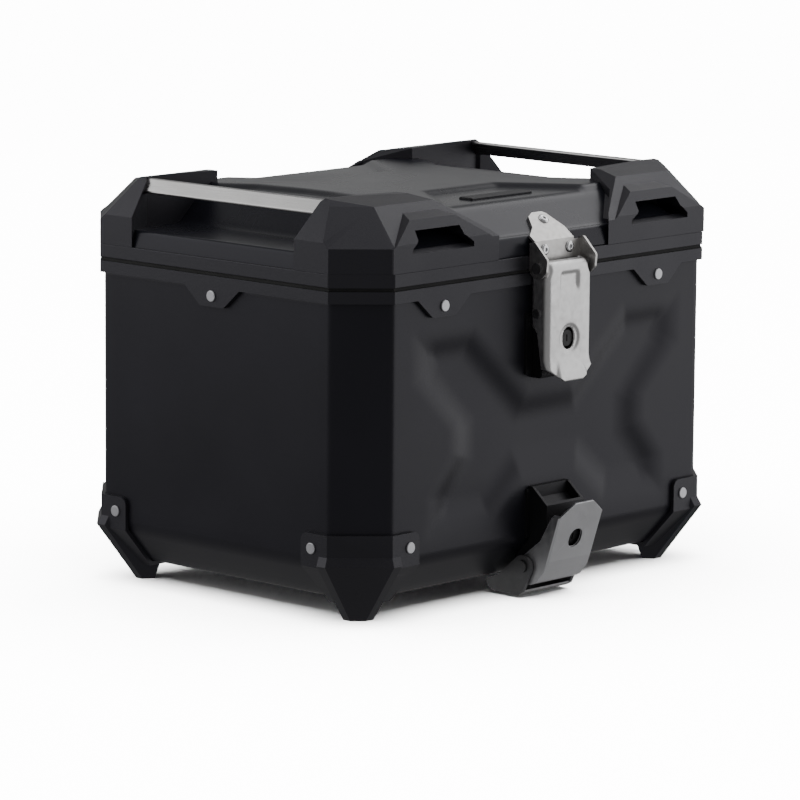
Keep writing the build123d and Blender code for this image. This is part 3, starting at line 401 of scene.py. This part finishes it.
def bent_corner(before, corner, after, radius, steps=5):
    """Points of an arc that rounds a corner of a plan."""
    back = Vector(before) - Vector(corner)
    on = Vector(after) - Vector(corner)
    reach = radius * math.tan((math.pi - back.angle(on)) / 2)
    start = Vector(corner) + reach * back.normalized()
    end = Vector(corner) + reach * on.normalized()
    points = []
    for i in range(steps + 1):
        t = i / steps
        point = (1 - t) ** 2 * start + 2 * t * (1 - t) * Vector(corner) + t * t * end
        points.append((point.x, point.y))
    return points


def plan_loop(inset, radius):
    """A closed loop round the case: finest along the front, bent at the corners."""
    corners = plan_corners(inset)
    loop = []
    steps = [CHAMFER_STEPS, SIDE_STEPS, CHAMFER_STEPS, BACK_STEPS]
    steps += [CHAMFER_STEPS, SIDE_STEPS, CHAMFER_STEPS, FRONT_STEPS]
    for i, corner in enumerate(corners):
        arc = bent_corner(corners[i - 1], corner, corners[(i + 1) % 8], radius)
        following = corners[(i + 1) % 8]
        next_arc = bent_corner(corner, following, corners[(i + 2) % 8], radius)
        loop += arc[:-1] + along_side(arc[-1], next_arc[0], steps[i])
    return loop


def case_rows():
    """(height, inset) pairs of the case's section, from the rim to the floor."""
    rows = [(RIM_Z, 0.0), (RIM_Z - RIM_BAND, 0.0)]
    height = FIRST_ROW_Z
    while height > LAST_ROW_Z:
        rows.append((height, 0.0))
        height -= ROW_STEP
    slant = BEVEL_IN / (CREASE_Z - FLOOR_Z)
    for i in range(7):
        t = i / 6
        z = CREASE_Z + CREASE_BEND - 2 * CREASE_BEND * t
        rows.append((z, slant * CREASE_BEND * t ** 2))
    rows.append((FLOOR_Z + RIM_BAND, slant * (CREASE_Z - FLOOR_Z - RIM_BAND)))
    for i in range(4):
        t = i / 3
        rise = FLOOR_BEND * (1 - t) ** 2
        rows.append((FLOOR_Z + rise, BEVEL_IN - slant * rise + 2 * FLOOR_BEND * t * t))
    return rows


def case_skin():
    """The folded tub with its pressed front, as one sheet with rounded bends."""
    grid = bmesh.new()
    loops = []
    for z, inset in case_rows():
        row = []
        for x, y in plan_loop(inset, CORNER_BEND):
            on_front = y < 0.5 - CASE_Y and abs(x) < RECESS_HALF
            if on_front and RECESS_Z[0] < z < RECESS_Z[1]:
                y += RECESS_DEPTH * pressed((x, z), RECESS_OUTER, RECESS_INNER)
            row.append(grid.verts.new((x * MM, (y + MIDDLE_Y) * MM, z * MM)))
        loops.append(row)
    for above, below in zip(loops, loops[1:]):
        for i in range(len(above)):
            j = (i + 1) % len(above)
            grid.faces.new((above[i], above[j], below[j], below[i]))
    grid.faces.new(loops[-1])
    piece = shaded("case_skin", grid, PANEL, SHEET)
    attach(piece, "case")
    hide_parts("case_shell")


LID_LOW, LID_HIGH, _ = span("lid_shell")
LID_X = 1000 * (LID_HIGH.x - LID_LOW.x) / 2
LID_Y = 1000 * (LID_HIGH.y - LID_LOW.y) / 2
SHELF_Z = 268.5
TROUGH_Z = 292.5
PLATFORM_RISE = 1000 * LID_HIGH.z - TROUGH_Z
BLOCK_LOW = (148.0, 146.0)
BLOCK_TOP = (122.0, 114.0)
SKIRT_LEAN = 2.0
SKIRT_KNEE_Z = 256.0
BLOCK_BEND = 4
PLATFORM_LOW = both_ways([(98, 12), (104, 55), (120, 80), (121.5, 113.5), (75, 113.5), (37, 61)])
PLATFORM_TOP = both_ways([(91, 14), (97, 58), (114, 84), (117, 109), (79, 109), (40, 54)])
LID_BEND = 3.0


def lid_height(x, y):
    """Height of the pressed lid over a point of its plan."""
    rise = TROUGH_Z - SHELF_Z
    side = rise * (BLOCK_LOW[0] - abs(x)) / (BLOCK_LOW[0] - BLOCK_TOP[0])
    front = rise * (BLOCK_LOW[1] - abs(y)) / (BLOCK_LOW[1] - BLOCK_TOP[1])
    block = soft_min(soft_min(side, front, BLOCK_BEND), rise, BLOCK_BEND)
    height = SHELF_Z + soft_max(block, 0, BLOCK_BEND)
    if abs(x) < BLOCK_TOP[0] + BLOCK_BEND and abs(y) < BLOCK_TOP[1] + BLOCK_BEND:
        height += PLATFORM_RISE * pressed((x, y), PLATFORM_LOW, PLATFORM_TOP, 0.5)
    return height


def moved_out(x, y, reach_x, reach_y, reach_sum, distance):
    """A point of the lid's eight-sided edge, moved outwards square to its side."""
    sx, sy = math.copysign(1, x), math.copysign(1, y)
    on_x, on_y = abs(x) > reach_x - 0.01, abs(y) > reach_y - 0.01
    on_slant = abs(x) + abs(y) > reach_sum - 0.01
    mitre = (2**0.5 - 1) * distance
    if on_x:
        return x + sx * distance, y + (sy * mitre if on_slant else 0)
    if on_y:
        return x + (sx * mitre if on_slant else 0), y + sy * distance
    return x + sx * distance / 2**0.5, y + sy * distance / 2**0.5


def lid_skin():
    """The pressed lid: shelf, raised block and platform, with a leaning skirt round them."""
    reach_x = LID_X - SKIRT_LEAN - LID_BEND
    reach_y = LID_Y - SKIRT_LEAN - LID_BEND
    leg = CORNER_LEG - (SKIRT_LEAN + LID_BEND) * (2 - 2**0.5)
    reach_sum = reach_x + reach_y - leg
    count_x, count_y = 150, 116
    grid = bmesh.new()
    rows = []
    for j in range(count_y + 1):
        y = reach_y * (2 * j / count_y - 1)
        row = [(reach_x * (2 * i / count_x - 1), y) for i in range(count_x + 1)]
        rows.append([grid.verts.new((x, y, lid_height(x, y))) for x, y in row])
    for low, high in zip(rows, rows[1:]):
        for i in range(count_x):
            grid.faces.new((low[i], low[i + 1], high[i + 1], high[i]))
    for sx in (-1, 1):
        for sy in (-1, 1):
            bmesh.ops.bisect_plane(
                grid,
                geom=list(grid.verts) + list(grid.edges) + list(grid.faces),
                dist=0.02,
                plane_co=(sx * reach_sum / 2, sy * reach_sum / 2, 0),
                plane_no=(sx, sy, 0),
                clear_outer=True,
            )
    edge = [e for e in grid.edges if e.is_boundary]
    rim = {v: (v.co.x, v.co.y, v.co.z) for e in edge for v in e.verts}
    profile = []
    for i in range(1, 6):
        angle = math.pi / 2 * i / 5
        profile.append((LID_BEND * math.sin(angle), LID_BEND * (math.cos(angle) - 1)))
    profile.append((LID_BEND + SKIRT_LEAN, SKIRT_KNEE_Z - SHELF_Z))
    profile.append((LID_BEND + SKIRT_LEAN, 1000 * LID_LOW.z - SHELF_Z))
    last = {v: v for v in rim}
    for out, drop in profile:
        following = {}
        for v, (x, y, z) in rim.items():
            u, w = moved_out(x, y, reach_x, reach_y, reach_sum, out)
            following[v] = grid.verts.new((u, w, z + drop))
        for e in edge:
            a, b = e.verts
            grid.faces.new((last[a], last[b], following[b], following[a]))
        last = following
    for v in grid.verts:
        v.co = Vector((v.co.x * MM, (v.co.y + MIDDLE_Y) * MM, v.co.z * MM))
    piece = shaded("lid_skin", grid, LID_PANEL, SHEET)
    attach(piece, "lid")
    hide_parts("lid_shell")


case_skin()
lid_skin()


# ---------------------------------------------------------------- pressed latch lever
def smooth_step(value, start, end):
    """0 before start, 1 after end, and a smooth rise between them."""
    t = min(1, max(0, (value - start) / (end - start)))
    return t * t * (3 - 2 * t)


def between(value, pairs):
    """A value on a line through (position, value) pairs that rise in position."""
    if value <= pairs[0][0]:
        return pairs[0][1]
    for (p, a), (q, b) in zip(pairs, pairs[1:]):
        if value <= q:
            return a + (b - a) * (value - p) / (q - p)
    return pairs[-1][1]


LEVER_LOW, LEVER_HIGH, _ = span("latch_lever")
LEVER_HALF = 1000 * LEVER_HIGH.x
LEVER_FACE = -166.0
LEVER_TOP = 1000 * LEVER_HIGH.z
LEVER_FOOT = 1000 * LEVER_LOW.z
LEVER_LOCK_Z = 194.0
LEVER_KNEE = 172.4
SLOT_HALF = (6.6, 8.2)
SHOULDER = 2.4
BEND = 4.0
TIP_HALF = 10.4
DIMPLE_HALF = 9.6
DIMPLE_DEPTH = 1.7
DISH_DEPTH = 1.2
TOP_ROLL = 7
KICK_Z = 182
KICK_RUN = 17
KICK = 5.0
# (height, back edge of the side walls) pairs
LEVER_BACK = [
    (LEVER_KNEE, -160), (199, -155.4), (204, -150.9), (243, -150.9), (246, -152.9), (252, -156),
]
# rows up the lever, and divisions across its face and down each side wall
LEVER_ROWS, LEVER_ACROSS, LEVER_WALL = 96, 56, 8


def lever_half_width(z):
    """Half the lever's width: a chamfered tip below, narrow shoulders on top."""
    if z < LEVER_KNEE:
        return between(z, [(LEVER_FOOT, TIP_HALF), (LEVER_KNEE, LEVER_HALF)])
    return LEVER_HALF - SHOULDER * smooth_step(z, 239, 246)


def lever_face_y(x, z):
    """The lever's front face: flat, with a dimple, lock dish, rolled top and kicked-out tip."""
    y = LEVER_FACE
    in_dimple = smooth_step(z, 227, 234) * (1 - smooth_step(z, 241, 245))
    y += DIMPLE_DEPTH * smooth_step(DIMPLE_HALF - abs(x), -2.0, 2.0) * in_dimple
    y += DISH_DEPTH * (1 - smooth_step(math.hypot(x, z - LEVER_LOCK_Z), 9.2, 11.6))
    roll = max(0, z - (LEVER_TOP - TOP_ROLL))
    y += TOP_ROLL - math.sqrt(max(0, TOP_ROLL**2 - roll * roll))
    kick = smooth_step(KICK_Z - z, 0, KICK_RUN) * KICK
    side = smooth_step(abs(x) - 10 - 0.25 * (KICK_Z - z), 0, 4)
    return y - kick * (1 - 0.4 * side)


def in_slot(x, z):
    """Distance inside the lock slot's rounded outline, below 0 outside it."""
    straight = SLOT_HALF[1] - SLOT_HALF[0]
    return SLOT_HALF[0] - math.hypot(x, max(0, abs(z - LEVER_LOCK_Z) - straight))


def snapped_to_slot(x, z):
    """The nearest point on the lock slot's outline."""
    straight = SLOT_HALF[1] - SLOT_HALF[0]
    middle = LEVER_LOCK_Z + max(-straight, min(straight, z - LEVER_LOCK_Z))
    reach = math.hypot(x, z - middle)
    return x * SLOT_HALF[0] / reach, middle + (z - middle) * SLOT_HALF[0] / reach


def lever_skin():
    """The upper latch lever as one pressed sheet: face, rounded bends and two side walls."""
    grid = bmesh.new()
    across, wall = LEVER_ACROSS, LEVER_WALL
    table = []
    for j in range(LEVER_ROWS + 1):
        z = LEVER_FOOT + (LEVER_TOP - LEVER_FOOT) * j / LEVER_ROWS
        half = lever_half_width(z)
        row = []
        has_wall = z >= LEVER_KNEE - 0.5
        bend = between(z, [(LEVER_KNEE - 6, 0.8), (LEVER_KNEE + 4, BEND)])
        for k in range(-wall, across + wall + 1):
            if 0 <= k <= across:
                t = 2 * k / across - 1
                x = half * t
                y = lever_face_y(x, z)
                edge = max(0, abs(x) - (half - bend))
                y += bend - math.sqrt(max(0, bend * bend - edge * edge))
                row.append((x, y, z))
            else:
                side = -1 if k < 0 else 1
                depth = (-k if k < 0 else k - across) / wall
                start = lever_face_y(side * half, z) + bend
                back = max(start + 0.05, between(z, LEVER_BACK))
                row.append((side * half, start + (back - start) * depth, z))
        table.append((row, has_wall))
    made = [[None] * (across + 2 * wall + 1) for _ in table]
    for j, (row, has_wall) in enumerate(table):
        for i, (x, y, z) in enumerate(row):
            depth = in_slot(x, z)
            if wall <= i <= across + wall and -0.75 < depth < 0.75:
                x, z = snapped_to_slot(x, z)
            made[j][i] = grid.verts.new((x * MM, (y + MIDDLE_Y) * MM, z * MM))
    for j in range(len(table) - 1):
        for i in range(across + 2 * wall):
            on_wall = i < wall or i >= across + wall
            if on_wall and not table[j][1]:
                continue
            x = (table[j][0][i][0] + table[j + 1][0][i + 1][0]) / 2
            z = (table[j][0][i][2] + table[j + 1][0][i + 1][2]) / 2
            if not on_wall and in_slot(x, z) > 0:
                continue
            grid.faces.new((made[j][i], made[j][i + 1], made[j + 1][i + 1], made[j + 1][i]))
    bmesh.ops.remove_doubles(grid, verts=grid.verts, dist=0.00002)
    loose = [v for v in grid.verts if not v.link_faces]
    bmesh.ops.delete(grid, geom=loose, context="VERTS")
    piece = shaded("lever_skin", grid, LEVER, 2.0 * MM)
    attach(piece, "lever")
    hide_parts("latch_lever")


lever_skin()


# ---------------------------------------------------------------- socket heads on the bracket
HEAD_R, HEAD_H = 4.2, 1.6
SOCKET_R, SOCKET_DEPTH = 1.7, 1.0
SHANK_R = 2.0
HEAD_SEGMENTS = 48
PLATE_FRONT_Y = -152.5
EAR_HEADS = ((-13.5, 259.4), (14.0, 259.4))
TONGUE_HEAD = (4.0, 14.5)
TONGUE_TOP = 2.0


def socket_head(grid, base, out, shank_length):
    """A domed head with a six-sided socket, on a shank that runs back from base."""
    across = out.orthogonal().normalized()
    up = out.cross(across)
    segments = HEAD_SEGMENTS
    # (radius, height, how far the ring is a hexagon), from the socket's floor to the shank's end
    rings = [
        (0.0, HEAD_H - SOCKET_DEPTH, 0),
        (SOCKET_R * 0.98, HEAD_H - SOCKET_DEPTH, 1),
        (SOCKET_R, HEAD_H, 1),
        (SOCKET_R + 0.35, HEAD_H + 0.12, 0.5),
        (HEAD_R * 0.72, HEAD_H * 0.95, 0),
        (HEAD_R * 0.92, HEAD_H * 0.7, 0),
        (HEAD_R, HEAD_H * 0.35, 0),
        (HEAD_R, 0.0, 0),
        (SHANK_R, 0.0, 0),
        (SHANK_R, -shank_length, 0),
    ]
    last = None
    for radius, height, flats in rings:
        ring = []
        for i in range(segments):
            angle = 2 * math.pi * i / segments
            turn = (angle + math.pi / 6) % (math.pi / 3) - math.pi / 6
            reach = radius * (1 - flats + flats * math.cos(math.pi / 6) / math.cos(turn))
            point = base + out * height + (across * math.cos(angle) + up * math.sin(angle)) * reach
            ring.append(grid.verts.new(point * MM))
        if last is not None:
            for i in range(segments):
                j = (i + 1) % segments
                grid.faces.new((last[i], last[j], ring[j], ring[i]))
        last = ring
    grid.faces.new(last)


def bracket_heads():
    """The bracket's three rivets: two through its ears' plate and one through its tongue."""
    grid = bmesh.new()
    front = Vector((0, -1, 0))
    for x, z in EAR_HEADS:
        seat = Vector((x, MIDDLE_Y + PLATE_FRONT_Y, z))
        socket_head(grid, seat, front, shank_length=6.0)
    up_slope, off_slope = Vector((0, 0.8, 0.6)), Vector((0, -0.6, 0.8))
    corner = Vector((0, MIDDLE_Y - BLOCK_LOW[1], SHELF_Z))
    x, along = TONGUE_HEAD
    seat = corner + Vector((x, 0, 0)) + up_slope * along + off_slope * TONGUE_TOP
    socket_head(grid, seat, off_slope, shank_length=4.0)
    bmesh.ops.remove_doubles(grid, verts=grid.verts, dist=0.000002)
    bmesh.ops.recalc_face_normals(grid, faces=grid.faces)
    mesh = bpy.data.meshes.new("bracket_heads")
    grid.to_mesh(mesh)
    grid.free()
    for face in mesh.polygons:
        face.use_smooth = True
    mesh.set_sharp_from_angle(angle=math.radians(38))
    mesh.materials.append(BRIGHT_RIVET)
    piece = bpy.data.objects.new("bracket_heads", mesh)
    bpy.context.scene.collection.objects.link(piece)
    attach(piece, "lid")
    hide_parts("bracket_rivets")


bracket_heads()


# ---------------------------------------------------------------- stage, light and camera
MIDDLE = (cad_low + cad_high) / 2
FLOOR_HALF = 30
FLOOR_LIGHT = 48.0
FLOOR_LIGHT_SPREAD = 95.0
DOME_RADIUS = 20
DOME_GLOW = 13.0


def stage_floor():
    """A wide pale floor with its own even light; the object doesn't mirror it."""
    mesh = bpy.data.meshes.new("floor")
    grid = bmesh.new()
    bmesh.ops.create_grid(grid, x_segments=8, y_segments=8, size=FLOOR_HALF)
    grid.to_mesh(mesh)
    grid.free()
    floor = bpy.data.objects.new("floor", mesh)
    bpy.context.scene.collection.objects.link(floor)
    floor.visible_glossy = False
    floor.visible_diffuse = False
    material, nodes, links, shader = new_material("pale_floor")
    tone = noise_value(nodes, links, scale=0.5)
    pale = mix_colour(nodes, links, tone, (0.9, 0.9, 0.9), (0.93, 0.93, 0.93))
    links.new(pale, shader.inputs["Base Color"])
    shader.inputs["Roughness"].default_value = 0.9
    shader.inputs["Specular IOR Level"].default_value = 0.1
    mesh.materials.append(material)

    data = bpy.data.lights.new("floor_light", "SUN")
    data.energy = FLOOR_LIGHT
    data.angle = math.radians(FLOOR_LIGHT_SPREAD)
    lamp = bpy.data.objects.new("floor_light", data)
    bpy.context.scene.collection.objects.link(lamp)
    only_floor = bpy.data.collections.new("only_floor")
    only_floor.objects.link(floor)
    lamp.light_linking.receiver_collection = only_floor


def stage_dome():
    """A pale, evenly lit surround far behind everything, which lights and mirrors in nothing."""
    mesh = bpy.data.meshes.new("dome")
    ball = bmesh.new()
    bmesh.ops.create_uvsphere(ball, u_segments=48, v_segments=24, radius=DOME_RADIUS)
    ball.to_mesh(mesh)
    ball.free()
    dome = bpy.data.objects.new("dome", mesh)
    bpy.context.scene.collection.objects.link(dome)
    dome.visible_diffuse = False
    dome.visible_glossy = False
    dome.visible_shadow = False
    dome.visible_transmission = False
    material, nodes, links, shader = new_material("pale_surround")
    tone = noise_value(nodes, links, scale=0.05)
    glow = mix_colour(nodes, links, tone, (0.96, 0.96, 0.96), (1.0, 1.0, 1.0))
    links.new(glow, shader.inputs["Emission Color"])
    shader.inputs["Emission Strength"].default_value = DOME_GLOW
    shader.inputs["Base Color"].default_value = (0, 0, 0, 1)
    mesh.materials.append(material)


def softbox(name, azimuth, elevation, distance, width, height, radiance):
    """An area light that looks at the object; azimuth is from -Y towards +X, in degrees."""
    data = bpy.data.lights.new(name, "AREA")
    data.shape = "RECTANGLE"
    data.size = width
    data.size_y = height
    data.energy = radiance * math.pi * width * height
    lamp = bpy.data.objects.new(name, data)
    a, e = math.radians(azimuth), math.radians(elevation)
    out = Vector((math.sin(a) * math.cos(e), -math.cos(a) * math.cos(e), math.sin(e)))
    lamp.location = MIDDLE + distance * out
    lamp.rotation_mode = "QUATERNION"
    lamp.rotation_quaternion = (-out).to_track_quat("-Z", "Y")
    lamp.visible_camera = False
    bpy.context.scene.collection.objects.link(lamp)


def photo_camera():
    """A long lens, looking at the case's corner from a little above."""
    azimuth, elevation, roll = math.radians(47.198), math.radians(9.457), math.radians(0.453)
    look_at = Vector((-0.0333, -0.0168, 0.1355))
    distance = 3.56
    data = bpy.data.cameras.new("camera")
    data.lens = 213.7
    data.sensor_width = 36
    data.clip_end = 100
    camera = bpy.data.objects.new("camera", data)
    ahead = Vector((
        math.sin(azimuth) * math.cos(elevation),
        math.cos(azimuth) * math.cos(elevation),
        -math.sin(elevation),
    ))
    camera.location = look_at - distance * ahead
    camera.rotation_mode = "QUATERNION"
    camera.rotation_quaternion = ahead.to_track_quat("-Z", "Y") @ Quaternion((0, 0, 1), roll)
    bpy.context.scene.collection.objects.link(camera)
    bpy.context.scene.camera = camera


def world_light(strength):
    """An even white light from all round."""
    world = bpy.data.worlds.new("studio")
    world.use_nodes = True
    sky = world.node_tree.nodes["Background"]
    sky.inputs["Color"].default_value = (1, 1, 1, 1)
    sky.inputs["Strength"].default_value = strength
    bpy.context.scene.world = world


stage_floor()
stage_dome()
# name: azimuth, elevation, distance, width, height, radiance
SOFTBOXES = {
    "left_rear_box": (-133, 23, 1.4, 1.8, 1.3, 1.3),
    "right_front_box": (52, 10, 1.6, 1.7, 1.8, 1.25),
    "far_rear_box": (133, 16, 3.0, 2.6, 0.8, 0.22),
    "right_side_box": (90, 44, 2.0, 1.3, 1.1, 2.2),
    "overhead_box": (0, 88, 2.2, 1.6, 1.6, 1.2),
}
for box_name, settings in SOFTBOXES.items():
    softbox(box_name, *settings)
world_light(0.3)
photo_camera()
